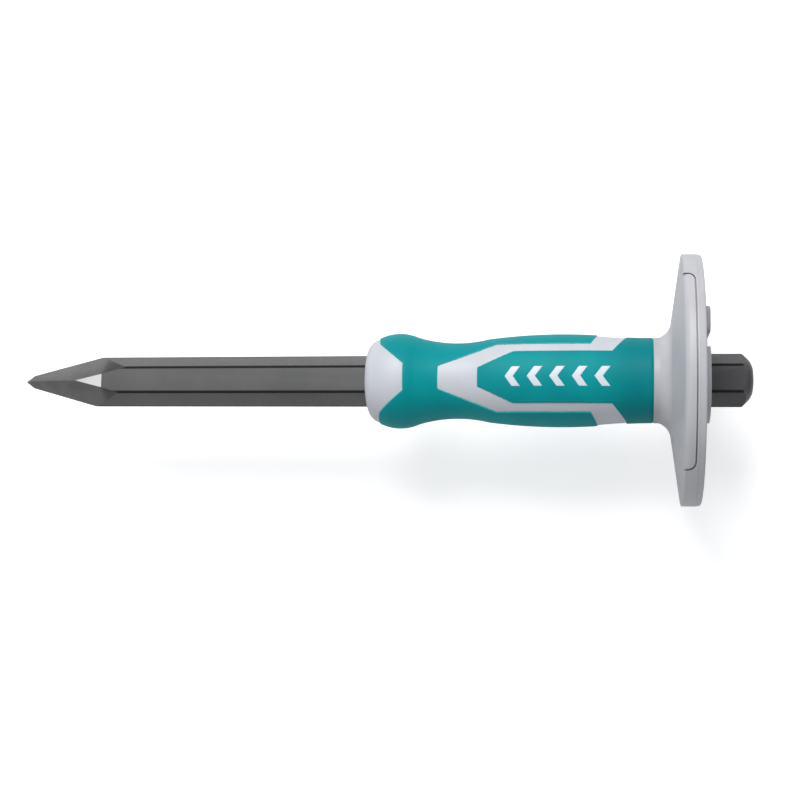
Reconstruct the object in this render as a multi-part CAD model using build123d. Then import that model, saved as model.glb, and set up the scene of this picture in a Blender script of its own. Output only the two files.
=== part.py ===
"""A point chisel with a moulded hand guard.

X runs along the tool: the centre of the struck face is the origin and the point is at -X.
"""

from build123d import *
import math
import os

# Driving dimensions in millimetres
bar_flats = 18.2  # 18 mm hexagonal bar with its lacquer, across its flats
bar_length = 300.0
bar_edge_radius = 0.4
nose_front = -150.5  # front end of the handle
grip_end = -37.75  # back end of the soft grip, where the guard's neck starts
guard_front_edge = -27.2
guard_split = -23.6  # joint between the two guard mouldings on the rim
guard_back_face = -19.9
guard_hub_end = -16.4
guard_radius = 49.0
neck_radius = 16.75
sleeve_radius = 13.4  # the core's tail, which carries the guard
grip_thickness = 2.2
grip_proud = 0.35  # how far the soft grip stands above the hard core

# Point: a four-sided pyramid with its ridges towards Y and Z, ending in a blunter one
tip_radius = 0.35
blunt_length = 3.3
blunt_radius = 2.69
slope_up = 0.2536  # of the ridge towards +Y; the grinding is not quite even on the two sides
slope_down = 0.2731
ridge_ratio_z = 1.037  # the ridges towards Z stand a little further out than those towards Y
ground_start = 25.3
ground_end = 37.2
ground_depth = 0.3
point_reach = 60.0  # from the tip to beyond the end of the grinding

# Struck end
chamfer_length = 4.3
crown_start = 2.5
crown_radius = 8.75
crown_middle = (-0.85, 6.75)
face_radius = 4.0

# Grooves that lock the bar into the core
lock_places = (-128.0, -84.0, -52.0)
lock_width = 7.0
lock_depth = 1.3

# Seen along Z, the edges of the soft grips are straight lines: half outlines as (x, y)
beyond = 24.0  # a half width outside every radius of the handle
nose_edge = [(-134.4, 5.4), (-144.5, 13.7), (-149.1, beyond)]
stripe_front_edge = [(-120.9, 4.5), (-98.1, 13.4), (-61.6, 13.4), (-55.9, beyond)]
stripe_back_edge = [(-105.3, 3.8), (-91.4, 10.35), (-53.4, 10.35), (-42.3, beyond)]

# Raised arrow marks on the two panels, pointing at the tip
mark_count = 5
mark_first = -94.4
mark_pitch = 8.6
mark_height = 7.7
mark_lead = 2.8
mark_width = 3.2
mark_proud = 0.15

# Guard
guard_wall = 2.6
rim_wall = 3.4
lug_half_width = 35.8  # along Y, of the two lugs on which the front moulding reaches the rim
lug_corner_radius = 2.5
lug_edge_radius = 2.6
rim_edge_radius = 0.8
rib_count = 12
rib_width = 1.8
back_start = -31.2  # as far forward as the back moulding reaches
pad_start = 17.2
pad_end = 27.7
pad_half_width = 13.0
pad_corner = 3.0
boss_flat = 11.8  # beside the pad the boss and the core's tail are cut off flat
key_width = 5.0
key_height = 1.2

bar_corner = bar_flats / math.sqrt(3)


def solid_along_x(face, start, end):
    """Extrudes a sketch drawn in the YZ plane from x = start to x = end."""
    return extrude(Plane.YZ.offset(start) * face, end - start)


def turned(*edges):
    """Spins a closed half outline drawn in the XY plane about X."""
    return revolve(make_face(Curve() + list(edges)), Axis.X)


def rod(radius, start, end):
    return solid_along_x(Circle(radius), start, end)


def prism(outline):
    """A block with the given outline in plan that goes right through the tool along Z."""
    face = Pos(0, 0, -beyond) * make_face(Polyline(*outline, close=True))
    return extrude(face, 2 * beyond, dir=(0, 0, 1))


def mirrored(edge):
    """A half outline and its mirror image as one run of points across the tool."""
    return [(x, -y) for x, y in reversed(edge)] + edge


# Bar

def wedge(reach, x, side):
    """The section at x of the two faces that meet in a ridge standing out by reach towards side * Y."""
    far = 2 * bar_flats
    width = ridge_ratio_z * (reach + far)
    corners = [(side * reach, 0), (-side * far, width), (-side * far, -width)]
    return Plane.YZ.offset(x) * make_face(Polyline(*corners, close=True))


def ground_pair(side, slope):
    """The space under two faces of the point, the blunt tip included."""
    tip = -bar_length
    shoulder = wedge(blunt_radius, tip + blunt_length, side)
    end_reach = blunt_radius + slope * (point_reach - blunt_length)
    blunt = loft([wedge(tip_radius, tip, side), shoulder], ruled=True)
    return blunt + loft([shoulder, wedge(end_reach, tip + point_reach, side)], ruled=True)


def point_envelope():
    """The pyramid that the bar is ground to, going on past the end of the grinding."""
    rest = solid_along_x(Rectangle(4 * bar_flats, 4 * bar_flats), point_reach - bar_length, 0)
    return (ground_pair(1, slope_up) & ground_pair(-1, slope_down)) + rest


def ground_cut(side):
    """The shallow sloping cut on the tail of the flat that faces side * Z."""
    front = -bar_length + ground_start
    back = -bar_length + ground_end
    flat = bar_flats / 2
    outline = [(front, flat - ground_depth), (back, flat), (back, flat + 1), (front - 4, flat + 1)]
    outline.append((front - 4, flat - ground_depth))
    face = make_face(Polyline(*[(x, side * z) for x, z in outline], close=True))
    return extrude(Plane.XZ * face, amount=bar_flats, both=True)


def struck_end():
    """The turned shape of the struck end: a flat face, a crowned edge and a chamfer."""
    full = bar_corner + 0.2
    return turned(
        Line((-bar_length, 0), (-bar_length, full)),
        Line((-bar_length, full), (-chamfer_length, full)),
        Line((-chamfer_length, full), (-crown_start, crown_radius)),
        ThreePointArc((-crown_start, crown_radius), crown_middle, (0, face_radius)),
        Line((0, face_radius), (0, 0)),
        Line((0, 0), (-bar_length, 0)),
    )


def lock_ring(x):
    """The ring of steel that one lock groove takes away, with a rounded floor."""
    floor = bar_flats / 2 - lock_depth
    outer = bar_corner + 1
    half = lock_width / 2
    return turned(
        Line((x - half, outer), (x - half, bar_flats / 2)),
        ThreePointArc((x - half, bar_flats / 2), (x, floor), (x + half, bar_flats / 2)),
        Line((x + half, bar_flats / 2), (x + half, outer)),
        Line((x + half, outer), (x - half, outer)),
    )


def make_bar():
    hexagon = RegularPolygon(bar_corner, 6, rotation=0)
    bar = solid_along_x(hexagon, -bar_length, 0)
    bar = fillet(bar.edges().filter_by(Axis.X), bar_edge_radius)
    bar = bar & point_envelope() & struck_end()
    for side in (1, -1):
        bar -= ground_cut(side)
    for x in lock_places:
        bar -= lock_ring(x)
    return bar


# Handle

def handle_body(drop):
    """The whole handle, turned, its outside lowered by drop: nose, bulge, waist, belly and back end."""
    arcs = [
        [(nose_front, 12.9), (-149.2, 15.6), (-146.6, 17.1)],
        [(-146.6, 17.1), (-138.0, 19.2), (-130.6, 17.6)],
        [(-130.6, 17.6), (-116.8, 15.25), (-102.1, 16.65)],
        [(-102.1, 16.65), (-78.0, 18.4), (-60.0, 18.0)],
        [(-60.0, 18.0), (-49.0, 17.05), (grip_end, neck_radius)],
    ]
    lowered = [[(x, r - drop) for x, r in arc] for arc in arcs]
    start = lowered[0][0]
    back = lowered[-1][-1]
    return turned(
        Line((nose_front, 0), start),
        *[ThreePointArc(*arc) for arc in lowered],
        Line(back, (grip_end, 0)),
        Line((grip_end, 0), (nose_front, 0)),
    )


def arrow(index):
    """One arrow mark in plan, seen from either side of the tool."""
    x = mark_first + index * mark_pitch
    half = mark_height / 2
    outline = [
        (x + mark_lead, -half),
        (x, 0),
        (x + mark_lead, half),
        (x + mark_lead + mark_width, half),
        (x + mark_width, 0),
        (x + mark_lead + mark_width, -half),
    ]
    return prism(outline)


def make_marks():
    marks = Part()
    for index in range(mark_count):
        marks += arrow(index)
    return marks


def make_front_grip(skin):
    return skin & prism(mirrored(nose_edge) + mirrored(stripe_front_edge)[::-1])


def make_rear_grip(skin, marks):
    back = [(guard_hub_end, beyond), (guard_hub_end, -beyond)]
    return (skin & prism(mirrored(stripe_back_edge) + back)) - marks


def sleeve_keys():
    """Two keys on the core's tail that stop the guard from turning."""
    height = 2 * (sleeve_radius + key_height)
    face = Rectangle(key_width, height)
    return solid_along_x(face, grip_end, guard_split)


def make_core(bar, front_grip, rear_grip, marks):
    tail = rod(sleeve_radius, grip_end, guard_hub_end) + sleeve_keys()
    posts = (handle_body(-mark_proud) - handle_body(grip_thickness)) & marks
    core = handle_body(grip_proud) - front_grip - rear_grip
    return core + posts + tail - bar - boss_cut()


# Guard

def guard_outline(depth):
    """The half outline of the guard with its neck, its front lying depth inside the outside surface."""
    neck = neck_radius - depth
    edge = guard_front_edge + depth
    flare = (-31.0 + depth, 22.4)
    return (
        Line((grip_end, 0), (grip_end, neck)),
        Line((grip_end, neck), (-35.6, neck)),
        ThreePointArc((-35.6, neck), (-32.4 + 0.75 * depth, 19.1 - 0.6 * depth), flare),
        Line(flare, (edge, guard_radius)),
        Line((edge, guard_radius), (guard_back_face, guard_radius)),
        Line((guard_back_face, guard_radius), (guard_back_face, 0)),
        Line((guard_back_face, 0), (grip_end, 0)),
    )


def lug_block(inner):
    """A block along Z, from above to below, that holds the rim of both lugs and leaves out the inner radius."""
    front = grip_end
    outline = Polyline(
        (front, -lug_half_width),
        (guard_split, -lug_half_width),
        (guard_split, lug_half_width),
        (front, lug_half_width),
        close=True,
    )
    face = make_face(outline)
    corners = face.vertices().group_by(Axis.X)[-1]
    face = Pos(0, 0, -guard_radius) * fillet(corners, lug_corner_radius)
    return extrude(face, 2 * guard_radius, dir=(0, 0, 1)) - rod(inner, grip_end, guard_split)


def guard_cavity():
    """The hollow between the two guard mouldings."""
    outer = rod(guard_radius - rim_wall - guard_wall, grip_end, guard_back_face - guard_wall)
    return (turned(*guard_outline(guard_wall)) & outer) - rod(neck_radius, grip_end, guard_back_face)


def guard_ribs():
    ribs = Part()
    for index in range(rib_count):
        turn = Rotation(0, 0, (index + 0.5) * 360 / rib_count)
        face = turn * Pos(guard_radius / 2, 0) * Rectangle(guard_radius, rib_width)
        ribs += solid_along_x(face, grip_end, guard_back_face)
    return ribs & guard_cavity()


def make_guard_front(core):
    body = turned(*guard_outline(0))
    disc = body & rod(guard_radius - rim_wall, grip_end, guard_split)
    lugs = body & lug_block(guard_radius - rim_wall - 1)
    edges = lugs.edges().filter_by(GeomType.CIRCLE).filter_by(lambda e: abs(e.radius - guard_radius) < 0.01)
    front_x = min(edge.center().X for edge in edges)
    lugs = fillet([e for e in edges if abs(e.center().X - front_x) < 0.5], lug_edge_radius)
    return disc + lugs - guard_cavity() - rod(sleeve_radius, grip_end, 0) - core


def guard_pad():
    """The raised pad beside the hub on the back."""
    middle = (pad_start + pad_end) / 2
    face = Pos(middle, 0) * Rectangle(pad_end - pad_start, 2 * pad_half_width)
    pad = solid_along_x(face, guard_back_face, guard_hub_end)
    return fillet(pad.edges().filter_by(Axis.X), pad_corner)


def boss_cut():
    """The space between the pad and the flat that is cut on the boss and on the core's tail."""
    middle = (boss_flat + pad_start) / 2
    face = Pos(middle, 0) * Rectangle(pad_start - boss_flat, 2 * neck_radius)
    return solid_along_x(face, guard_back_face, 0)


def make_guard_back(core, front):
    body = turned(*guard_outline(0)) & rod(guard_radius, back_start, guard_back_face)
    rim = [e for e in body.edges().filter_by(GeomType.CIRCLE) if abs(e.radius - guard_radius) < 0.01]
    body = fillet(rim, rim_edge_radius)
    body -= rod(guard_radius - rim_wall, grip_end, guard_split)
    body -= lug_block(guard_radius - rim_wall - 1)
    body += guard_ribs() - rod(sleeve_radius, grip_end, 0)
    body -= guard_cavity() - guard_ribs()
    body += rod(neck_radius, guard_back_face, guard_hub_end) + guard_pad()
    return body - boss_cut() - rod(sleeve_radius, grip_end, 0) - front


def main():
    bar = make_bar()
    skin = handle_body(0) - handle_body(grip_thickness)
    marks = make_marks()
    front_grip = make_front_grip(skin)
    rear_grip = make_rear_grip(skin, marks)
    core = make_core(bar, front_grip, rear_grip, marks)
    front = make_guard_front(core)
    back = make_guard_back(core, front)
    nodes = {
        "chisel_bar": bar,
        "handle_core": core,
        "front_grip": front_grip,
        "rear_grip": rear_grip,
        "guard_front": front,
        "guard_back": back,
    }
    os.makedirs("parts", exist_ok=True)
    for name, shape in nodes.items():
        export_step(shape, f"parts/{name}.step")


main()
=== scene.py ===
import bpy, bmesh, math
from mathutils import Vector, Matrix


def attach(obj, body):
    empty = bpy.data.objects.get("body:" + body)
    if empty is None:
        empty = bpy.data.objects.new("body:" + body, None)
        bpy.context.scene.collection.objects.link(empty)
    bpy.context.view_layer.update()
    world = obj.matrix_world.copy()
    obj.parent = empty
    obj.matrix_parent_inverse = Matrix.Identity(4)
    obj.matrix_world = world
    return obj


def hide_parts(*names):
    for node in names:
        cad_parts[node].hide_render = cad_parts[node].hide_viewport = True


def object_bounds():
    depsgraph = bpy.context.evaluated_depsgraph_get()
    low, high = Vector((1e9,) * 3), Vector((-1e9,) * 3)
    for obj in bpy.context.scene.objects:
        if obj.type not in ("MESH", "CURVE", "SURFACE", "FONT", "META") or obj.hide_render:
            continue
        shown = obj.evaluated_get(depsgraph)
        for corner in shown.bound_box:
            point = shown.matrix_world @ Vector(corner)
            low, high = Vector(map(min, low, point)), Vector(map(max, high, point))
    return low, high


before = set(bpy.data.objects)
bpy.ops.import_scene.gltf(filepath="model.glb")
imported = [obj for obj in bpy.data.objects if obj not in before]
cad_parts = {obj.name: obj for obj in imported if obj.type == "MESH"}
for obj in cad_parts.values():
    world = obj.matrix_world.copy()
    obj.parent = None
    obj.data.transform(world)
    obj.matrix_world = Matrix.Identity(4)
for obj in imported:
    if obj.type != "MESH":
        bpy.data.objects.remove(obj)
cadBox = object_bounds()
mm = 0.001               # sizes below are in millimetres, turned into metres where they are used
touch = 1e-6             # a point this near a plane, in metres, lies on it


def activate(piece):     # this piece alone is selected, and active
    if bpy.context.mode != "OBJECT":
        bpy.ops.object.mode_set(mode="OBJECT")
    bpy.ops.object.select_all(action="DESELECT")
    piece.select_set(True)
    bpy.context.view_layer.objects.active = piece


def editOnly(piece):     # this piece alone in edit mode, with nothing selected
    activate(piece)
    bpy.ops.object.mode_set(mode="EDIT")
    bpy.ops.mesh.select_all(action="DESELECT")


def objectMode():
    bpy.ops.object.mode_set(mode="OBJECT")
    bpy.ops.object.select_all(action="DESELECT")


def pick(piece, kind, test):               # selects the faces or edges that pass the test, and nothing else
    bpy.ops.mesh.select_mode(type=kind)
    bpy.ops.mesh.select_all(action="DESELECT")
    bm = bmesh.from_edit_mesh(piece.data)
    for part in bm.faces if kind == "FACE" else bm.edges:
        if test(part):
            part.select_set(True)
    bmesh.update_edit_mesh(piece.data)


def pickFaces(piece, test):
    pick(piece, "FACE", test)


def pickEdges(piece, test):
    pick(piece, "EDGE", test)


def bevelPicked(width, segments, clamp=False):
    bpy.ops.mesh.bevel(offset=width * mm, offset_type="OFFSET", segments=segments, profile=0.5,
                       clamp_overlap=clamp)


def copyOf(piece, name):
    made = piece.copy()
    made.data = piece.data.copy()
    made.name = made.data.name = name
    bpy.context.collection.objects.link(made)
    return made


def throwAway(*pieces):
    for piece in pieces:
        bpy.data.objects.remove(piece, do_unlink=True)


def applyModifier(piece, kind, **settings):
    activate(piece)
    modifier = piece.modifiers.new(kind.title(), kind)
    for key, value in settings.items():
        setattr(modifier, key, value)
    bpy.ops.object.modifier_apply(modifier=modifier.name)


def cutWith(piece, tool, operation):
    applyModifier(piece, "BOOLEAN", object=tool, operation=operation, solver="EXACT")


def addBlock(name, low, high):             # a block between two corners
    middle = [(a + b) / 2 * mm for a, b in zip(low, high)]
    size = [(b - a) * mm for a, b in zip(low, high)]
    bpy.ops.object.select_all(action="DESELECT")
    bpy.ops.mesh.primitive_cube_add(size=1, location=middle, scale=size)
    block = bpy.context.object
    block.name = block.data.name = name
    bpy.ops.object.transform_apply(location=True, rotation=True, scale=True)
    return block


def addRod(name, sides, radius, start, end, turn=0.0):     # a rod along the tool's axis, turned some degrees
    middle = ((start + end) / 2 * mm, 0, 0)
    bpy.ops.object.select_all(action="DESELECT")
    bpy.ops.mesh.primitive_cylinder_add(vertices=sides, radius=radius * mm, depth=(end - start) * mm,
                                        location=middle, rotation=(0, math.pi / 2, 0))
    rod = bpy.context.object
    rod.name = rod.data.name = name
    if turn:
        bpy.ops.transform.rotate(value=math.radians(turn), orient_axis="X", center_override=(0, 0, 0))
    bpy.ops.object.transform_apply(location=True, rotation=True, scale=True)
    return rod


def turnedPiece(name, outline, steps):
    # a half outline of (x, radius), drawn point by point and spun about the tool's axis
    bpy.ops.object.select_all(action="DESELECT")
    bpy.ops.mesh.primitive_plane_add(size=mm)
    piece = bpy.context.object
    piece.name = piece.data.name = name
    bpy.ops.object.mode_set(mode="EDIT")
    bpy.ops.mesh.select_mode(type="VERT")
    bpy.ops.mesh.select_all(action="SELECT")
    bpy.ops.mesh.merge(type="CENTER")
    here = Vector((0, 0, 0))
    for index, (x, radius) in enumerate(outline):
        there = Vector((x * mm, radius * mm, 0))
        if index == 0:
            bpy.ops.transform.translate(value=there)
        else:
            bpy.ops.mesh.extrude_region_move(TRANSFORM_OT_translate={"value": there - here})
        here = there
    bpy.ops.mesh.select_all(action="SELECT")
    bpy.ops.mesh.spin(steps=steps, angle=math.tau, center=(0, 0, 0), axis=(1, 0, 0))
    bpy.ops.mesh.select_all(action="SELECT")
    bpy.ops.mesh.remove_doubles(threshold=touch / 2)
    bpy.ops.mesh.normals_make_consistent(inside=False)
    objectMode()
    return piece


def circleThrough(start, middle, end):     # centre and radius of the circle through three points
    (ax, ay), (bx, by), (cx, cy) = start, middle, end
    d = 2 * (ax * (by - cy) + bx * (cy - ay) + cx * (ay - by))
    a2, b2, c2 = ax * ax + ay * ay, bx * bx + by * by, cx * cx + cy * cy
    ux = (a2 * (by - cy) + b2 * (cy - ay) + c2 * (ay - by)) / d
    uy = (a2 * (cx - bx) + b2 * (ax - cx) + c2 * (bx - ax)) / d
    return ux, uy, math.hypot(ax - ux, ay - uy)


def arcPoints(start, middle, end, count):  # count points after start along the arc through three points
    ux, uy, radius = circleThrough(start, middle, end)
    first = math.atan2(start[1] - uy, start[0] - ux)
    sweep = math.remainder(math.atan2(end[1] - uy, end[0] - ux) - first, math.tau)
    through = math.remainder(math.atan2(middle[1] - uy, middle[0] - ux) - first, math.tau)
    if through * sweep < 0:
        sweep -= math.copysign(math.tau, sweep)
    steps = [first + sweep * step / count for step in range(1, count + 1)]
    return [(ux + radius * math.cos(a), uy + radius * math.sin(a)) for a in steps]


def finishPiece(piece, material, node, smoothAngle):
    activate(piece)
    bpy.ops.object.shade_smooth_by_angle(angle=math.radians(smoothAngle))
    if not piece.data.materials:
        piece.data.materials.append(material)
    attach(piece, "root")
    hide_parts(node)


view = {
    "lens": 57.5, "sensor": 36.0, "near": 0.01,
    "distance": 518,
    "aimX": -138.4,      # where the lens axis passes the tool's axis
    "aimDrop": 7.6,      # and how far below it
    "yaw": 10.0,         # degrees that bring the struck end nearer the lens
    "pitch": 5.3,
}


def makeCamera():
    yaw, pitch = math.radians(view["yaw"]), math.radians(view["pitch"])
    back = Vector((math.sin(yaw), -math.sin(pitch) * math.cos(yaw), math.cos(pitch) * math.cos(yaw)))
    right = (Vector((1, 0, 0)) - back * back.x).normalized()
    up = back.cross(right)
    aim = Vector((view["aimX"] * mm, 0, 0)) - up * view["aimDrop"] * mm
    bpy.ops.object.camera_add(location=aim + back * view["distance"] * mm)
    camera = bpy.context.object
    camera.rotation_euler = Matrix((right, up, back)).transposed().to_euler()
    camera.data.lens = view["lens"]
    camera.data.sensor_width = view["sensor"]
    camera.data.clip_start = view["near"]
    bpy.context.scene.camera = camera


lightRig = {                               # places and sizes in metres, powers in watts
    "skyColor": (0.96, 0.98, 1.0), "skyStrength": 0.36,
    "keyPower": 9.0, "keySize": 0.55, "keyPlace": (-0.22, 0.62, 0.84),
    "fillPower": 1.2, "fillSize": 0.8, "fillPlace": (-0.55, -0.20, 0.65),
    "backPower": 0.8, "backSize": 0.8, "backPlace": (0.95, 0.10, 0.40),
    "floorColor": (0.80, 0.80, 0.81), "floorRoughness": 0.9, "floorShine": 0.1,
    "floorGlow": 0.5, "floorSize": 6.0,
}


def softLight(lamp):
    place = lightRig[lamp + "Place"]
    bpy.ops.object.light_add(type="AREA", location=place)
    light = bpy.context.object
    light.name = lamp + "Light"
    light.data.shape = "DISK"
    light.data.size = lightRig[lamp + "Size"]
    light.data.energy = lightRig[lamp + "Power"]
    target = Vector((view["aimX"] * mm, 0, 0))
    light.rotation_euler = (target - Vector(place)).to_track_quat("-Z", "Y").to_euler()


def makeSky():
    world = bpy.data.worlds.new("studio")
    bpy.context.scene.world = world
    world.use_nodes = True
    sky = world.node_tree.nodes["Background"]
    sky.inputs["Color"].default_value = (*lightRig["skyColor"], 1)
    seen = world.node_tree.nodes.new("ShaderNodeLightPath").outputs["Is Camera Ray"]
    strength = world.node_tree.nodes.new("ShaderNodeMapRange")     # full white where the lens sees it
    strength.inputs["To Min"].default_value = lightRig["skyStrength"]
    world.node_tree.links.new(seen, strength.inputs["Value"])
    world.node_tree.links.new(strength.outputs["Result"], sky.inputs["Strength"])


def makeFloor():                           # it glows for the lens only, so that it stays pale
    bpy.ops.mesh.primitive_plane_add(size=lightRig["floorSize"], location=(0, 0, cadBox[0].z))
    floor = bpy.context.object
    floor.name = "floor"
    paint = bpy.data.materials.new("paleFloor")
    paint.use_nodes = True
    shader = paint.node_tree.nodes["Principled BSDF"]
    shader.inputs["Base Color"].default_value = (*lightRig["floorColor"], 1)
    shader.inputs["Roughness"].default_value = lightRig["floorRoughness"]
    shader.inputs["Specular IOR Level"].default_value = lightRig["floorShine"]
    shader.inputs["Emission Color"].default_value = (1, 1, 1, 1)
    seen = paint.node_tree.nodes.new("ShaderNodeLightPath").outputs["Is Camera Ray"]
    glow = paint.node_tree.nodes.new("ShaderNodeMath")
    glow.operation = "MULTIPLY"
    glow.inputs[1].default_value = lightRig["floorGlow"]
    paint.node_tree.links.new(seen, glow.inputs[0])
    paint.node_tree.links.new(glow.outputs[0], shader.inputs["Emission Strength"])
    floor.data.materials.append(paint)


bpy.context.scene.view_settings.view_transform = "Standard"
makeCamera()
makeSky()
for lamp in ("key", "fill", "back"):
    softLight(lamp)
makeFloor()
print("camera, floor and light made")


noiseSpan = (0.3, 0.7)   # the part of a noise's output that is stretched over a finish's whole range


def feed(tree, value, target):             # links a socket, or sets a plain number or colour
    if isinstance(value, bpy.types.NodeSocket):
        tree.links.new(value, target)
    elif isinstance(value, tuple):
        target.default_value = (*value, 1)
    else:
        target.default_value = value


def socket(group, name, side, kind="NodeSocketFloat", value=None):
    made = group.interface.new_socket(name=name, in_out=side, socket_type=kind)
    if value is not None:
        made.default_value = value


def mathNode(tree, operation, a, b=None):
    node = tree.nodes.new("ShaderNodeMath")
    node.operation = operation
    feed(tree, a, node.inputs[0])
    if b is not None:
        feed(tree, b, node.inputs[1])
    return node.outputs[0]


def rangeNode(tree, value, lowIn, highIn, lowOut, highOut):
    node = tree.nodes.new("ShaderNodeMapRange")
    node.clamp = True
    node.interpolation_type = "SMOOTHSTEP"
    names = ("Value", "From Min", "From Max", "To Min", "To Max")
    for name, number in zip(names, (value, lowIn, highIn, lowOut, highOut)):
        feed(tree, number, node.inputs[name])
    return node.outputs["Result"]


def noiseNode(tree, vector, scale, detail, roughness):
    node = tree.nodes.new("ShaderNodeTexNoise")
    for name, value in (("Vector", vector), ("Scale", scale), ("Detail", detail), ("Roughness", roughness)):
        feed(tree, value, node.inputs[name])
    return node.outputs["Fac"]


def newGroup(name):
    group = bpy.data.node_groups.new(name, "ShaderNodeTree")
    return group, group.nodes.new("NodeGroupInput"), group.nodes.new("NodeGroupOutput")


def objectPlace(group):
    return group.nodes.new("ShaderNodeTexCoord").outputs["Object"]


def mouldedSkinGroup():
    # fine spark-eroded grain and slow unevenness of a moulded surface
    group, entry, leave = newGroup("mouldedSkin")
    socket(group, "Grain Scale", "INPUT", value=1800.0)
    socket(group, "Grain Height", "INPUT", value=0.00003)
    socket(group, "Swirl Scale", "INPUT", value=45.0)
    socket(group, "Normal", "OUTPUT", "NodeSocketVector")
    socket(group, "Grain", "OUTPUT")
    socket(group, "Swirl", "OUTPUT")
    place = objectPlace(group)
    grain = noiseNode(group, place, entry.outputs["Grain Scale"], 2.0, 0.6)
    swirl = noiseNode(group, place, entry.outputs["Swirl Scale"], 3.0, 0.55)
    bump = group.nodes.new("ShaderNodeBump")
    bump.inputs["Strength"].default_value = 1.0
    group.links.new(entry.outputs["Grain Height"], bump.inputs["Distance"])
    group.links.new(grain, bump.inputs["Height"])
    group.links.new(bump.outputs["Normal"], leave.inputs["Normal"])
    group.links.new(grain, leave.inputs["Grain"])
    group.links.new(swirl, leave.inputs["Swirl"])
    return group


def alongToolGroup():
    # 0 at one place along the tool and the amount at another, softly between them
    group, entry, leave = newGroup("alongTool")
    socket(group, "Start", "INPUT", value=0.0)
    socket(group, "End", "INPUT", value=0.01)
    socket(group, "Amount", "INPUT", value=1.0)
    socket(group, "Mask", "OUTPUT")
    split = group.nodes.new("ShaderNodeSeparateXYZ")
    group.links.new(objectPlace(group), split.inputs[0])
    mask = rangeNode(group, split.outputs["X"], entry.outputs["Start"], entry.outputs["End"], 0.0, 1.0)
    group.links.new(mathNode(group, "MULTIPLY", mask, entry.outputs["Amount"]), leave.inputs["Mask"])
    return group


def hexEdgeGroup():
    # how near a point is to the long edges of the hexagonal bar, 1 on the edge
    group, entry, leave = newGroup("hexEdge")
    socket(group, "Inner", "INPUT", value=0.0002)
    socket(group, "Outer", "INPUT", value=0.0006)
    socket(group, "Ground", "INPUT", value=0.0098)     # no edge within this radius, on the point
    socket(group, "Full", "INPUT", value=0.0101)
    socket(group, "Edge", "OUTPUT")
    split = group.nodes.new("ShaderNodeSeparateXYZ")
    group.links.new(objectPlace(group), split.inputs[0])
    y, z = split.outputs["Y"], split.outputs["Z"]
    sixth = math.pi / 3
    angle = mathNode(group, "ARCTAN2", z, y)
    turns = mathNode(group, "ROUND", mathNode(group, "DIVIDE", angle, sixth))
    offAngle = mathNode(group, "SUBTRACT", angle, mathNode(group, "MULTIPLY", turns, sixth))
    squares = mathNode(group, "ADD", mathNode(group, "POWER", y, 2.0), mathNode(group, "POWER", z, 2.0))
    radius = mathNode(group, "SQRT", squares)
    sine = mathNode(group, "ABSOLUTE", mathNode(group, "SINE", offAngle))
    away = mathNode(group, "MULTIPLY", sine, radius)
    near = rangeNode(group, away, entry.outputs["Inner"], entry.outputs["Outer"], 1.0, 0.0)
    full = rangeNode(group, radius, entry.outputs["Ground"], entry.outputs["Full"], 0.0, 1.0)
    group.links.new(mathNode(group, "MULTIPLY", near, full), leave.inputs["Edge"])
    return group


mouldedSkin = mouldedSkinGroup()
hexEdge = hexEdgeGroup()
alongTool = alongToolGroup()


def newMaterial(name):
    material = bpy.data.materials.new(name)
    material.use_nodes = True
    tree = material.node_tree
    return material, tree, tree.nodes["Principled BSDF"]


def useGroup(tree, group, **values):
    node = tree.nodes.new("ShaderNodeGroup")
    node.node_tree = group
    for key, value in values.items():
        node.inputs[key.replace("_", " ")].default_value = value
    return node


def blendColors(tree, factor, low, high):
    node = tree.nodes.new("ShaderNodeMix")
    node.data_type = "RGBA"
    tree.links.new(factor, node.inputs["Factor"])
    for name, value in (("A", low), ("B", high)):
        feed(tree, value, [s for s in node.inputs if s.name == name and s.type == "RGBA"][0])
    return [s for s in node.outputs if s.type == "RGBA"][0]


def patchy(tree, skin, colors):            # two colours in slow patches
    return blendColors(tree, rangeNode(tree, skin.outputs["Swirl"], *noiseSpan, 0.0, 1.0), *colors)


def grainyGloss(tree, skin, roughness):
    return rangeNode(tree, skin.outputs["Grain"], *noiseSpan, *roughness)


# each finish has two colours in patches, a roughness range, the grain's scale and its height in metres
moulded = {
    "greyPlastic": {
        "colors": [(0.535, 0.555, 0.595), (0.575, 0.595, 0.635)],
        "roughness": (0.42, 0.52), "grainScale": 1600.0, "grainHeight": 0.000010, "shine": 0.5,
    },
    "guardPlastic": {
        "colors": [(0.47, 0.47, 0.495), (0.51, 0.51, 0.535)],
        "roughness": (0.42, 0.52), "grainScale": 1500.0, "grainHeight": 0.000012, "shine": 0.5,
        # painted shade: the neck and flare are painted darker towards the guard, for the shade it casts on
        # them
        "paintedShadeRun": (-0.0325, -0.0365, 0.35), "paintedShadeColor": (0.30, 0.30, 0.315),
    },
    "tealElastomer": {
        "colors": [(0.0, 0.250, 0.270), (0.0, 0.288, 0.308)],
        "roughness": (0.44, 0.56), "grainScale": 1400.0, "grainHeight": 0.000018, "shine": 0.12,
        # painted highlight along the grips' borders
        "borderHighlightColor": (0.10, 0.48, 0.50),
        # painted shade: the rear grip is painted darker towards the guard, for the guard's shade
        "paintedShadeRun": (-0.062, -0.043, 0.45), "paintedShadeColor": (0.0, 0.12, 0.14),
    },
    "markPlastic": {
        "colors": [(0.66, 0.70, 0.76), (0.70, 0.74, 0.80)],
        "roughness": (0.40, 0.50), "grainScale": 1600.0, "grainHeight": 0.000010, "shine": 0.5,
    },
}


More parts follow.
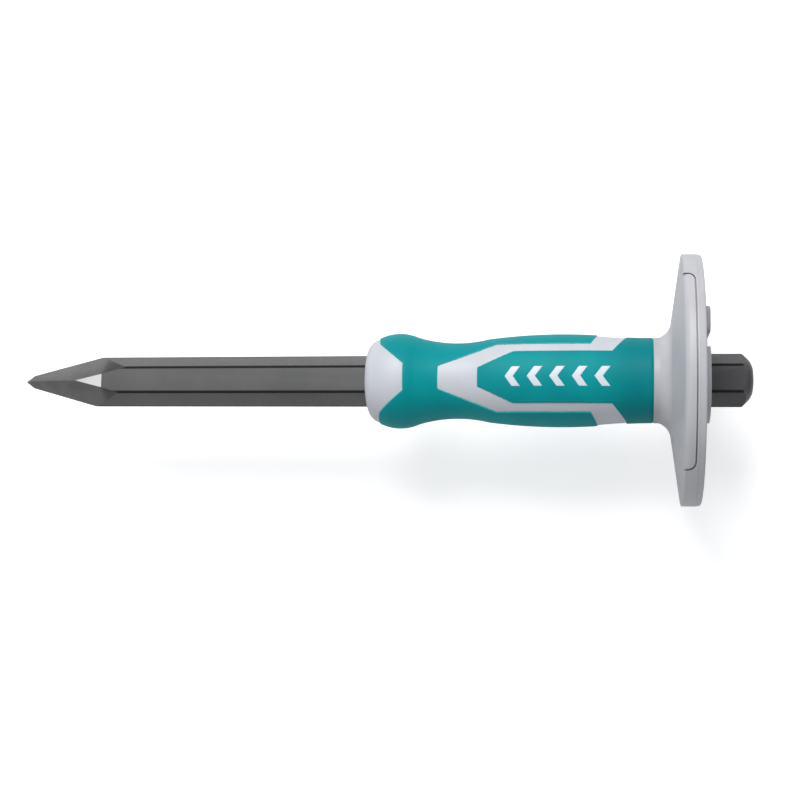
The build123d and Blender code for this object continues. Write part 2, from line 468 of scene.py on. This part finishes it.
def mouldedMaterial(name):
    look = moulded[name]
    material, tree, shader = newMaterial(name)
    skin = useGroup(tree, mouldedSkin, Grain_Scale=look["grainScale"], Grain_Height=look["grainHeight"])
    color = patchy(tree, skin, look["colors"])
    if "borderHighlightColor" in look:              # painted highlight: a moulding's border is painted paler, as if its rounded edge caught the light
        border = tree.nodes.new("ShaderNodeAttribute")
        border.attribute_name = "border"
        paintedHighlight = rangeNode(tree, border.outputs["Fac"], 0.35, 0.9, 0.0, 0.5)
        color = blendColors(tree, paintedHighlight, color, look["borderHighlightColor"])
    if "paintedShadeRun" in look:                 # painted shade: it darkens from start to end along the tool, for the shade near the guard
        start, end, amount = look["paintedShadeRun"]
        place = useGroup(tree, alongTool, Start=start, End=end, Amount=amount)
        color = blendColors(tree, place.outputs["Mask"], color, look["paintedShadeColor"])
    tree.links.new(color, shader.inputs["Base Color"])
    tree.links.new(grainyGloss(tree, skin, look["roughness"]), shader.inputs["Roughness"])
    tree.links.new(skin.outputs["Normal"], shader.inputs["Normal"])
    shader.inputs["Specular IOR Level"].default_value = look["shine"]
    return material


steel = {
    "lacquer": [(0.082, 0.082, 0.082), (0.102, 0.102, 0.102)], "lacquerRoughness": (0.36, 0.46),
    # painted reflection: the long edges are painted near black, for the dark that their rounding reflects
    "longEdge": (0.002, 0.002, 0.002), "longEdgeNear": 0.00035, "longEdgeFar": 0.00090, "longEdgeDull": 0.5,
    # painted shade: the struck end behind the guard is painted darker
    "struckEndShade": (0.045, 0.045, 0.047), "struckEndShadeRun": (-0.020, -0.014),
    # painted light: the point's facets are a lighter copy of the lacquer, with painted shade towards the
    # shoulder
    "point": [(0.095, 0.095, 0.095), (0.120, 0.120, 0.120)], "pointRoughness": (0.38, 0.48),
    "pointFar": (0.040, 0.040, 0.041), "pointRun": (-0.2650, -0.2605),
    # painted shade: the crown is a darker copy of the lacquer, darkest towards the end face
    "crown": [(0.034, 0.034, 0.037), (0.050, 0.050, 0.054)], "crownRoughness": (0.26, 0.40),
    "crownFar": (0.010, 0.010, 0.011), "crownRun": (-0.0030, -0.0012),
    "ground": [(0.60, 0.60, 0.59), (0.70, 0.70, 0.69)], "groundRoughness": (0.32, 0.5), "groundMetal": 0.35,
}


def lacqueredSteelMaterial():
    material, tree, shader = newMaterial("lacqueredSteel")
    skin = useGroup(tree, mouldedSkin, Grain_Scale=900.0, Grain_Height=0.000012, Swirl_Scale=30.0)
    edge = useGroup(tree, hexEdge, Inner=steel["longEdgeNear"], Outer=steel["longEdgeFar"])
    start, end = steel["struckEndShadeRun"]
    struck = useGroup(tree, alongTool, Start=start, End=end)       # painted shade: the struck end behind the guard is painted darker than the shank
    body = blendColors(tree, struck.outputs["Mask"], patchy(tree, skin, steel["lacquer"]), steel["struckEndShade"])
    # painted reflection: the long edges darkened
    dark = blendColors(tree, edge.outputs["Edge"], body, steel["longEdge"])
    tree.links.new(dark, shader.inputs["Base Color"])
    dull = mathNode(tree, "MULTIPLY", edge.outputs["Edge"], steel["longEdgeDull"])
    gloss = grainyGloss(tree, skin, steel["lacquerRoughness"])
    tree.links.new(mathNode(tree, "ADD", gloss, dull), shader.inputs["Roughness"])
    tree.links.new(skin.outputs["Normal"], shader.inputs["Normal"])
    return material


def steelTone(name, place):                # a lighter or darker copy of the lacquer, as painted light and shade, whose colour changes along the tool
    material, tree, shader = newMaterial(name)
    skin = useGroup(tree, mouldedSkin, Grain_Scale=1100.0, Grain_Height=0.000014, Swirl_Scale=120.0)
    start, end = steel[place + "Run"]
    along = useGroup(tree, alongTool, Start=start, End=end)
    color = blendColors(tree, along.outputs["Mask"], patchy(tree, skin, steel[place]), steel[place + "Far"])
    tree.links.new(color, shader.inputs["Base Color"])
    tree.links.new(grainyGloss(tree, skin, steel[place + "Roughness"]), shader.inputs["Roughness"])
    tree.links.new(skin.outputs["Normal"], shader.inputs["Normal"])
    return material


def groundSteelMaterial():
    material, tree, shader = newMaterial("groundSteel")
    skin = useGroup(tree, mouldedSkin, Grain_Scale=3000.0, Grain_Height=0.000008)
    tree.links.new(patchy(tree, skin, steel["ground"]), shader.inputs["Base Color"])
    tree.links.new(grainyGloss(tree, skin, steel["groundRoughness"]), shader.inputs["Roughness"])
    tree.links.new(skin.outputs["Normal"], shader.inputs["Normal"])
    shader.inputs["Metallic"].default_value = steel["groundMetal"]
    return material


lacqueredSteel = lacqueredSteelMaterial()
groundSteel = groundSteelMaterial()
pointSteel = steelTone("pointSteel", "point")
crownSteel = steelTone("crownSteel", "crown")
greyPlastic = mouldedMaterial("greyPlastic")
guardPlastic = mouldedMaterial("guardPlastic")
tealElastomer = mouldedMaterial("tealElastomer")
markPlastic = mouldedMaterial("markPlastic")
print("materials made")


bar = {
    "flats": 18.2, "length": 300.0, "edgeRadius": 0.4,
    "tipReach": 0.35, "bluntReach": 2.69, "bluntLength": 3.3,      # half widths and length of the blunt tip
    "slopeUp": 0.2536, "slopeDown": 0.2731, "ridgeRatioZ": 1.037,
    "pointLength": 46.0, "ridgeBevel": 0.12, "ridgeAngle": 20.0, "ridgeShortest": 0.5,
    "groundStart": 25.3, "groundEnd": 37.2, "groundDepth": 0.3, "groundSpare": 0.2,
    "chamferLength": 4.3, "crownStart": 2.5, "crownRadius": 8.75, "crownMiddle": (-0.85, 6.75),
    "faceRadius": 4.0, "formStart": -60.0, "formSpare": 1.0, "formSteps": 96,
    "joinPlace": -40.0, "joinGap": 0.002,
    "pointPaint": -200.0, "crownPaint": -6.0,      # the point's painted light lies before, the crown's painted shade behind
}


def cutOff(piece, place, normal):          # keeps what lies behind the plane
    bpy.ops.mesh.select_all(action="SELECT")
    bpy.ops.mesh.bisect(plane_co=place, plane_no=normal, use_fill=True, clear_outer=True, clear_inner=False)


def pointPlane(reach, length, slope):      # place and outward normal of one face of the four-sided point
    # the face holds |y| / reach + |z| / (reach * ratio) = 1, with reach growing by slope along X
    ratio = bar["ridgeRatioZ"]
    ridgeY = Vector((-bar["length"] + length, reach, 0))
    ridgeZ = Vector((-bar["length"] + length, 0, reach * ratio))
    alongY = Vector((1, slope, 0))
    normal = alongY.cross(ridgeZ - ridgeY)
    if normal.z < 0:
        normal = -normal
    return ridgeY * mm, normal.normalized()


def grindPoint(piece):
    bluntSlope = (bar["bluntReach"] - bar["tipReach"]) / bar["bluntLength"]
    for sideY, longSlope in ((1, bar["slopeUp"]), (-1, bar["slopeDown"])):
        for reach, length, slope in ((bar["bluntReach"], bar["bluntLength"], longSlope),
                                     (bar["tipReach"], 0.0, bluntSlope)):
            place, normal = pointPlane(reach, length, slope)
            for sideZ in (1, -1):
                turn = Vector((1, sideY, sideZ))
                cutOff(piece, place * turn, normal * turn)
    for side in (1, -1):                   # the ground tails of the two flats
        run = bar["groundEnd"] - bar["groundStart"]
        place = Vector((-bar["length"] + bar["groundEnd"], 0, side * bar["flats"] / 2)) * mm
        cutOff(piece, place, Vector((-bar["groundDepth"], 0, side * run)).normalized())
    pointEnd = (-bar["length"] + bar["pointLength"]) * mm

    def isRidge(edge):
        return (all(v.co.x < pointEnd for v in edge.verts) and len(edge.link_faces) == 2
                and edge.calc_face_angle() > math.radians(bar["ridgeAngle"])
                and edge.calc_length() > bar["ridgeShortest"] * mm)

    pickEdges(piece, isRidge)
    bevelPicked(bar["ridgeBevel"], 2, True)


def struckForm(corner):                    # the turned shape that the struck end is cut to
    full = corner + bar["formSpare"]
    slope = (corner - bar["crownRadius"]) / (bar["chamferLength"] - bar["crownStart"])
    start = bar["formStart"]
    outline = [(start, 0), (start, full), (-bar["chamferLength"] - (full - corner) / slope, full)]
    outline.append((-bar["crownStart"], bar["crownRadius"]))
    outline += arcPoints(outline[-1], bar["crownMiddle"], (0, bar["faceRadius"]), 8)
    outline.append((0, 0))
    return turnedPiece("struckForm", outline, bar["formSteps"])


def openHalf(piece, side):                 # cuts away what lies beyond the join, ahead of it or behind
    place = bar["joinPlace"] * mm
    editOnly(piece)
    cutOff(piece, Vector((place, 0, 0)), Vector((side, 0, 0)))


def dropJoinFace(piece, side):             # so that the halves join without a wall between them
    place = bar["joinPlace"] * mm
    editOnly(piece)
    pickFaces(piece, lambda f: f.normal.x * side > 0.99
              and abs(f.calc_center_median().x - place) < 10 * touch)
    bpy.ops.mesh.delete(type="ONLY_FACE")


def paintBar(piece):
    for material in (lacqueredSteel, groundSteel, pointSteel, crownSteel):
        piece.data.materials.append(material)
    tail = (-bar["length"] + bar["groundEnd"] + bar["groundSpare"]) * mm
    for face in piece.data.polygons:
        face.material_index = 0
        if face.center.x < tail and abs(face.normal.z) > 0.995:
            face.material_index = 1
        # painted light: the point's facets get the lighter copy of the lacquer
        elif face.normal.x < -0.08 and face.center.x < bar["pointPaint"] * mm:
            face.material_index = 2
        # painted shade: the crown gets the darker copy of the lacquer
        elif face.normal.x > 0.2 and face.center.x > bar["crownPaint"] * mm:
            face.material_index = 3


def makeBar():
    corner = bar["flats"] / math.sqrt(3)
    piece = addRod("chiselBar", 6, corner, -bar["length"], 0)
    editOnly(piece)
    pickEdges(piece, lambda e: abs(e.verts[0].co.x - e.verts[1].co.x) > 0.1)
    bevelPicked(bar["edgeRadius"], 4)
    grindPoint(piece)
    objectMode()
    # the struck end is cut from the back half alone, and the halves are joined again
    form = struckForm(corner)
    backHalf = copyOf(piece, "backHalf")
    openHalf(backHalf, -1)
    objectMode()
    cutWith(backHalf, form, "INTERSECT")
    openHalf(piece, 1)
    dropJoinFace(piece, 1)
    dropJoinFace(backHalf, -1)
    objectMode()
    piece.select_set(True)
    backHalf.select_set(True)
    bpy.context.view_layer.objects.active = piece
    bpy.ops.object.join()
    throwAway(form)
    editOnly(piece)
    bpy.ops.mesh.select_all(action="SELECT")
    bpy.ops.mesh.remove_doubles(threshold=bar["joinGap"] * mm)
    objectMode()
    paintBar(piece)
    finishPiece(piece, lacqueredSteel, "chisel_bar", 25)


makeBar()
print("bar made")


handle = {
    "steps": 216, "rowGap": 0.7, "noseRows": 12,
    "arcs": [                              # the soft surface as (x, radius): nose, bulge, waist, belly, back
        [(-150.5, 12.9), (-149.2, 15.6), (-146.6, 17.1)],
        [(-146.6, 17.1), (-138.0, 19.2), (-130.6, 17.6)],
        [(-130.6, 17.6), (-116.8, 15.25), (-102.1, 16.65)],
        [(-102.1, 16.65), (-78.0, 18.4), (-60.0, 18.0)],
        [(-60.0, 18.0), (-49.0, 17.05), (-37.75, 16.75)],
    ],
    "gripThickness": 2.2, "gripProud": 0.35, "gripFit": 0.05,
    "gripRound": 0.42, "roundSteps": (0.12, 0.35, 0.65, 1.0),      # of the grips' borders
    "borderWidth": 1.4,                    # of the painted highlight along the border, in radii
    "sleeveRadius": 13.4, "hubEnd": -16.4,
    "boreFlats": 18.22, "boreStart": -250.0, "boreEnd": 50.0,
    "noseSide": -125.0,                    # between the nose's edge and the stripe
    "scoreSide": 3.0, "scoreReach": 0.9, "fineReach": 0.4,     # how far round a scored line faces are cut
}
# where the soft grips end, seen from above or below: points of (x, half width), straight between them
noseEdge = [(-134.4, 0.0), (-134.4, 5.4), (-144.5, 13.7), (-149.1, 24.0)]
stripeFrontEdge = [(-120.9, 0.0), (-120.9, 4.5), (-98.1, 13.4), (-61.6, 13.4), (-55.9, 24.0)]
stripeBackEdge = [(-105.3, 0.0), (-105.3, 3.8), (-91.4, 10.35), (-53.4, 10.35), (-42.3, 24.0)]
noseFront = handle["arcs"][0][0][0]
gripEnd = handle["arcs"][-1][-1][0]
endEdge = [(gripEnd, 0.0), (gripEnd, 24.0)]

marks = {
    "count": 5, "first": -94.4, "pitch": 8.6, "height": 7.7, "lead": 2.8, "width": 3.2,
    "proud": 0.12, "round": 0.15, "longReach": 1.0,
    "runBefore": 2.0, "runAfter": 44.0,    # how far the long lines go either way from the first mark's tip
}
# the fine moulding line along the lower edge of each panel
ridge = {"start": -90.0, "end": -48.5, "side": -9.55, "height": 0.11, "halfWidth": 0.22}


def handleRadius(x):                       # of the soft surface at x
    x = min(max(x, noseFront), gripEnd)
    arc = next(arc for arc in handle["arcs"] if x <= arc[-1][0])
    middleX, middleR, radius = circleThrough(*arc)
    rise = math.sqrt(max(0.0, radius**2 - (x - middleX) ** 2))
    return middleR + rise if arc[1][1] > middleR else middleR - rise


def handleOutline():
    nose = handle["arcs"][0]
    points = [nose[0]] + arcPoints(*nose, handle["noseRows"])
    start = points[-1][0]
    rows = round((gripEnd - start) / handle["rowGap"])
    for row in range(1, rows + 1):
        x = start + (gripEnd - start) * row / rows
        points.append((x, handleRadius(x)))
    return points


def lineValue(line, x):                    # half width of a plan edge at x, for the stripe's edges
    for (x0, y0), (x1, y1) in zip(line[1:], line[2:]):
        if x <= x1:
            return y0 + (y1 - y0) * (x - x0) / (x1 - x0)
    return line[-1][1]


def inFrontGrip(x, y):
    y = abs(y)
    if x < handle["noseSide"]:
        for (x0, y0), (x1, y1) in zip(noseEdge[1:], noseEdge[2:]):
            if y <= y1:
                return x > (x0 if y < y0 else x0 + (x1 - x0) * (y - y0) / (y1 - y0))
        return True
    return x < stripeFrontEdge[0][0] or y > lineValue(stripeFrontEdge, x)


def inRearGrip(x, y):
    return x > stripeBackEdge[0][0] and abs(y) < lineValue(stripeBackEdge, x)


def inMark(x, y):
    half = marks["height"] / 2
    along = x - marks["lead"] * abs(y) / half - marks["first"]
    index = math.floor(along / marks["pitch"])
    return abs(y) <= half and 0 <= index < marks["count"] and along - index * marks["pitch"] < marks["width"]


def distanceTo(lines, x, y):               # on the plan, where both halves are alike
    best = math.inf
    y = abs(y)
    for line in lines:
        for (x0, y0), (x1, y1) in zip(line, line[1:]):
            dx, dy = x1 - x0, y1 - y0
            t = max(0.0, min(1.0, ((x - x0) * dx + (y - y0) * dy) / (dx * dx + dy * dy)))
            best = min(best, math.hypot(x - x0 - t * dx, y - y0 - t * dy))
    return best


def onPlan(test):                          # makes a rule for faces from a rule for points of the plan
    def passes(face):
        middle = face.calc_center_median() / mm
        return test(middle.x, middle.y)

    return passes


def scoreLine(piece, start, end, offsets, reach):
    # cuts the surface along a line seen from above, and along lines beside it, without taking anything away
    (x0, y0), (x1, y1) = start, end
    length = math.hypot(x1 - x0, y1 - y0)
    along = Vector((x1 - x0, y1 - y0, 0)) / length
    side = Vector((-along.y, along.x, 0))
    for offset in offsets:
        place = Vector((x0, y0, 0)) + side * offset

        def near(face):
            middle = face.calc_center_median() / mm - place
            run = middle.dot(along)
            return -reach < run < length + reach and abs(middle.dot(side)) < handle["scoreSide"]

        pickFaces(piece, near)
        bpy.ops.mesh.bisect(plane_co=place * mm, plane_no=side, use_fill=False)


def scoreEdges(piece, line, inward):
    # inward is +1 or -1: the side of the line, walked from its first point, on which the soft grip lies
    steps = [0.0] + [inward * part * handle["gripRound"] for part in handle["roundSteps"]]
    reach = handle["scoreReach"]
    for (x0, y0), (x1, y1) in zip(line, line[1:]):
        if y0 == 0.0:                      # the straight part across the axis, drawn once for both halves
            scoreLine(piece, (x0, -y1), (x1, y1), steps, reach)
            continue
        scoreLine(piece, (x0, y0), (x1, y1), steps, reach)
        scoreLine(piece, (x0, -y0), (x1, -y1), [-step for step in steps], reach)


def keepFaces(piece, test):
    editOnly(piece)
    pickFaces(piece, onPlan(lambda x, y: not test(x, y)))
    bpy.ops.mesh.delete(type="FACE")
    objectMode()


def setRadii(piece, lowered, only=None):   # puts each point back on the turned surface, lowered by a rule
    for vertex in piece.data.vertices:
        if only is not None and vertex.index not in only:
            continue
        x, y, z = vertex.co / mm
        now = math.hypot(y, z)
        wanted = handleRadius(x) - lowered(x, y)
        vertex.co.y *= wanted / now
        vertex.co.z *= wanted / now


def writeBorder(piece, edges, width):      # 1 on the border of a moulding, falling to 0 inside it; it masks the painted highlight
    border = piece.data.attributes.new("border", "FLOAT", "POINT")
    for vertex in piece.data.vertices:
        x, y, z = vertex.co / mm
        border.data[vertex.index].value = max(0.0, 1.0 - distanceTo(edges, x, y) / width)


def roundOver(distance, radius):           # how far a rounded edge lies below its flat
    if distance >= radius:
        return 0.0
    return radius - math.sqrt(max(0.0, radius**2 - (radius - distance) ** 2))


def ridgeHeight(x, y):
    if not ridge["start"] < x < ridge["end"]:
        return 0.0
    return ridge["height"] * max(0.0, 1.0 - abs(y - ridge["side"]) / ridge["halfWidth"])


def thicken(piece, depth):
    applyModifier(piece, "SOLIDIFY", thickness=depth * mm, offset=-1.0, use_even_offset=False)


def makeSkin():                            # the whole soft surface, with the grips' edges scored on it
    skin = turnedPiece("handleSkin", handleOutline(), handle["steps"])
    editOnly(skin)
    scoreEdges(skin, noseEdge, -1)
    scoreEdges(skin, stripeFrontEdge, 1)
    scoreEdges(skin, stripeBackEdge, -1)
    objectMode()
    return skin


def makeGrip(skin, name, test, edges, node):
    piece = copyOf(skin, name)
    keepFaces(piece, test)
    radius = handle["gripRound"]
    setRadii(piece, lambda x, y: roundOver(distanceTo(edges, x, y), radius) - ridgeHeight(x, y))
    writeBorder(piece, edges, handle["borderWidth"] * radius)
    thicken(piece, handle["gripThickness"] - handle["gripFit"])
    finishPiece(piece, tealElastomer, node, 40)


def makeCore(skin):
    piece = copyOf(skin, "handleCore")
    editOnly(piece)
    pickFaces(piece, onPlan(lambda x, y: inFrontGrip(x, y) or inRearGrip(x, y)))
    bpy.ops.mesh.extrude_region_move(TRANSFORM_OT_translate={"value": (0, 0, 0)})
    objectMode()
    floor = {vertex.index for vertex in piece.data.vertices if vertex.select}
    walls = {vertex.index for vertex in piece.data.vertices} - floor
    setRadii(piece, lambda x, y: handle["gripThickness"], floor)
    setRadii(piece, lambda x, y: handle["gripProud"], walls)
    editOnly(piece)
    # front face, then the tail that carries the guard
    halfway = (noseFront + gripEnd) / 2 * mm
    pickEdges(piece, lambda e: e.is_boundary and e.verts[0].co.x < halfway)
    bpy.ops.mesh.edge_face_add()
    pickEdges(piece, lambda e: e.is_boundary and e.verts[0].co.x > halfway)
    here = handleRadius(gripEnd) - handle["gripThickness"]
    bpy.ops.mesh.extrude_region_move(TRANSFORM_OT_translate={"value": (0, 0, 0)})
    share = handle["sleeveRadius"] / here
    bpy.ops.transform.resize(value=(1, share, share), center_override=(gripEnd * mm, 0, 0))
    tail = ((handle["hubEnd"] - gripEnd) * mm, 0, 0)
    bpy.ops.mesh.extrude_region_move(TRANSFORM_OT_translate={"value": tail})
    bpy.ops.mesh.edge_face_add()
    bpy.ops.mesh.select_all(action="SELECT")
    bpy.ops.mesh.normals_make_consistent(inside=False)
    objectMode()
    bore = addRod("bore", 6, handle["boreFlats"] / math.sqrt(3), handle["boreStart"], handle["boreEnd"])
    cutWith(piece, bore, "DIFFERENCE")
    throwAway(bore)
    finishPiece(piece, greyPlastic, "handle_core", 35)


def scoreMarks(piece):
    half, lead = marks["height"] / 2, marks["lead"]
    start, end = marks["first"] - marks["runBefore"], marks["first"] + marks["runAfter"]
    steps = [0.0, 0.4 * marks["round"], marks["round"]]
    for side in (1, -1):
        inset = [-side * s for s in steps]
        scoreLine(piece, (start, side * half), (end, side * half), inset, marks["longReach"])
    for index in range(marks["count"]):
        for place, inward in ((0, -1), (marks["width"], 1)):
            x = marks["first"] + index * marks["pitch"] + place
            scoreLine(piece, (x, 0), (x + lead, half), [inward * s for s in steps], handle["fineReach"])
            scoreLine(piece, (x, 0), (x + lead, -half), [-inward * s for s in steps], handle["fineReach"])


def makeMarks(skin):
    half, lead, width = marks["height"] / 2, marks["lead"], marks["width"]
    outlines = []
    for index in range(marks["count"]):
        x = marks["first"] + index * marks["pitch"]
        outlines.append([(x, 0), (x + lead, half), (x + lead + width, half), (x + width, 0)])
    piece = copyOf(skin, "panelMarks")
    keepFaces(piece, inMark)
    setRadii(piece, lambda x, y: roundOver(distanceTo(outlines, x, y), marks["round"]) - marks["proud"])
    thicken(piece, handle["gripThickness"])
    finishPiece(piece, markPlastic, "handle_core", 40)


def makeHandle():
    skin = makeSkin()
    print("handle skin scored", len(skin.data.polygons))
    makeGrip(skin, "frontGrip", inFrontGrip, [noseEdge, stripeFrontEdge], "front_grip")
    rearSkin = copyOf(skin, "rearSkin")
    keepFaces(rearSkin, inRearGrip)
    editOnly(rearSkin)
    scoreMarks(rearSkin)
    steps = [-ridge["halfWidth"], 0.0, ridge["halfWidth"]]
    start, end = (ridge["start"], ridge["side"]), (ridge["end"], ridge["side"])
    scoreLine(rearSkin, start, end, steps, handle["fineReach"])
    objectMode()
    makeMarks(rearSkin)
    makeGrip(rearSkin, "rearGrip", lambda x, y: not inMark(x, y), [stripeBackEdge, endEdge], "rear_grip")
    makeCore(skin)
    throwAway(skin, rearSkin)


makeHandle()
print("handle made")


guard = {
    "steps": 288, "discSteps": 250,
    "radius": 49.0, "neck": 16.75, "neckInside": 13.44, "neckGap": 0.02, "neckChamfer": 0.15,
    "flare": [(-35.6, 16.75), (-32.4, 19.1), (-31.0, 22.4)],       # from the neck into the front face
    "hollow": [(-32.6, 18.6), (-33.4, 16.0)],                      # the flare's inner side, before the wall
    "faceRows": (26, 30, 34, 38, 42, 45), "backRows": (40, 30, 22, 18),
    "frontEdge": -27.2, "split": -23.6, "backFace": -19.9, "hubEnd": -16.4,
    "wall": 2.6, "rimWall": 3.4, "discRadius": 45.6, "fit": 0.03,
    "lugHalfWidth": 35.8, "lugCorner": 2.5, "lugRound": 2.6, "lugStart": -40.0, "lugHalfLength": 52.0,
    "lugFit": 0.02, "seamGap": 0.55, "seamDepth": 1.6, "seamSpan": (-45.0, -15.0), "cutSpare": 0.1,
    "rimFrontRound": 0.35, "rimBackRound": 0.8, "draftedRadius": 48.65,
    "partingPlace": -22.2, "partingHeight": 0.16, "partingHalf": 0.16, "partingLips": (0.03, 0.05),
    "bossRound": 0.4, "boreRound": 0.35, "boreChamfer": 0.12,
    "rodTurn": 0.3,                        # degrees, so that a rod's long edges don't lie on the spun ones
    "padStart": 17.2, "padEnd": 27.7, "padHalfWidth": 13.0,
    "padCorner": 3.0, "padRound": 0.5, "padSunk": 1.0,
    "bossFlat": 11.8,                      # beside the pad the boss is cut off flat
}


def roundCorner(before, corner, after, radius, count):
    # points of an arc that rounds the corner of an outline
    a = (Vector(before) - Vector(corner)).normalized()
    b = (Vector(after) - Vector(corner)).normalized()
    half = a.angle(b) / 2
    reach = radius / math.tan(half)
    middle = Vector(corner) + (a + b).normalized() * radius / math.sin(half)
    start, end = Vector(corner) + a * reach, Vector(corner) + b * reach
    top = middle + (Vector(corner) - middle).normalized() * radius
    return [tuple(start)] + arcPoints(tuple(start), tuple(top), tuple(end), count)


def coneX(radius):                         # the guard's straight front face at a radius
    x, r = guard["flare"][-1]
    return x + (guard["frontEdge"] - x) * (radius - r) / (guard["radius"] - r)


def guardFrontOutline():
    rim, wall, inside = guard["radius"], guard["wall"], guard["neckInside"]
    front, chamfer = gripEnd + guard["neckGap"], guard["neckChamfer"]
    outline = [(front, guard["neck"] - chamfer), (front + chamfer, guard["neck"]), guard["flare"][0]]
    outline += arcPoints(*guard["flare"], 16)
    outline += [(coneX(r), r) for r in guard["faceRows"]]
    back = guard["split"] + guard["cutSpare"]
    outline += roundCorner(outline[-1], (guard["frontEdge"], rim), (back, rim), guard["lugRound"], 10)
    outline += [(back, rim), (back, rim - guard["rimWall"] - 1)]
    inner = rim - guard["rimWall"] - wall
    outline.append((coneX(inner) + wall, inner))
    outline += [(x + wall, r) for x, r in [guard["flare"][-1]] + guard["hollow"]]
    outline += [(outline[-1][0], inside), (front, inside), outline[0]]
    return outline


def guardBackOutline():
    rim, back, hub, neck = guard["radius"], guard["backFace"], guard["hubEnd"], guard["neck"]
    inside, seam = guard["discRadius"] + guard["fit"], guard["split"] + guard["fit"]
    line, height, half = guard["partingPlace"], guard["partingHeight"], guard["partingHalf"]
    lips, rows = guard["partingLips"], guard["backRows"]
    outline = [(coneX(inside), inside)]
    outline += roundCorner(outline[0], (guard["frontEdge"], rim), (line, rim), guard["rimFrontRound"], 4)
    outline += [(line - half, rim - lips[0]), (line - half / 2, rim - height)]
    outline += [(line + half / 2, rim - height), (line + half, rim - lips[1])]
    drafted = (back, guard["draftedRadius"])
    outline += roundCorner(outline[-1], drafted, (back, rows[1]), guard["rimBackRound"], 6)
    outline += [(back, r) for r in rows]
    outline += roundCorner(outline[-1], (back, neck), (hub, neck), guard["bossRound"], 4)
    outline += roundCorner((back, neck), (hub, neck), (hub, 13), guard["boreRound"], 4)
    inner = rim - guard["rimWall"] - guard["wall"]
    floor = back - guard["wall"]
    chamfer = guard["boreChamfer"]
    outline += [(hub, guard["neckInside"] + chamfer), (hub - chamfer, guard["neckInside"])]
    outline += [(floor, guard["neckInside"]), (floor, inner), (seam, inner), (seam, inside), outline[0]]
    return outline


def lugPrism(name, grow):                  # block through both lugs, with its two back corners rounded
    back, half = guard["split"] + grow, guard["lugHalfWidth"] + grow
    length = guard["lugHalfLength"]
    block = addBlock(name, (guard["lugStart"], -half, -length), (back, half, length))
    editOnly(block)
    pickEdges(block, lambda e: all(abs(v.co.x - back * mm) < touch for v in e.verts)
              and abs(e.verts[0].co.z - e.verts[1].co.z) > length * mm)
    bevelPicked(guard["lugCorner"] + grow, 10)
    objectMode()
    return block


def makeGuardFront():
    piece = turnedPiece("guardFront", guardFrontOutline(), guard["steps"])
    lugs = lugPrism("lugs", 0.0)
    disc = addRod("disc", guard["discSteps"], guard["discRadius"], guard["lugStart"],
                  guard["split"] - guard["cutSpare"], guard["rodTurn"])
    cutWith(lugs, disc, "UNION")
    cutWith(piece, lugs, "INTERSECT")
    throwAway(lugs, disc)
    return piece


def makeGuardBack():
    piece = turnedPiece("guardBack", guardBackOutline(), guard["steps"])
    lugs = lugPrism("lugs", guard["lugFit"])
    cutWith(piece, lugs, "DIFFERENCE")
    groove = lugPrism("groove", guard["seamGap"])
    middle = addRod("middle", guard["steps"], guard["radius"] - guard["seamDepth"], *guard["seamSpan"],
                    guard["rodTurn"])
    cutWith(groove, middle, "DIFFERENCE")
    cutWith(piece, groove, "DIFFERENCE")
    throwAway(lugs, groove, middle)
    addPad(piece)
    return piece


def addPad(piece):
    base, top = guard["backFace"] - guard["padSunk"], guard["hubEnd"]
    half = guard["padHalfWidth"]
    pad = addBlock("pad", (base, guard["padStart"], -half), (top, guard["padEnd"], half))
    editOnly(pad)
    pickEdges(pad, lambda e: abs(e.verts[0].co.x - e.verts[1].co.x) > mm)
    bevelPicked(guard["padCorner"], 8)
    pickEdges(pad, lambda e: all(abs(v.co.x - top * mm) < touch for v in e.verts))
    bevelPicked(guard["padRound"], 4)
    objectMode()
    cutWith(piece, pad, "UNION")
    throwAway(pad)


def bossBlock():                           # the space between the pad and the flat on the boss
    half = 1.5 * guard["neck"]
    return addBlock("bossBlock", (guard["backFace"], guard["bossFlat"], -half),
                    (guard["hubEnd"] + 2, guard["padStart"], half))


def makeGuard():
    finishPiece(makeGuardFront(), guardPlastic, "guard_front", 32)
    back = makeGuardBack()
    flat = bossBlock()
    cutWith(back, flat, "DIFFERENCE")
    cutWith(bpy.data.objects["handleCore"], flat, "DIFFERENCE")
    throwAway(flat)
    finishPiece(back, guardPlastic, "guard_back", 32)


makeGuard()
print("guard made")
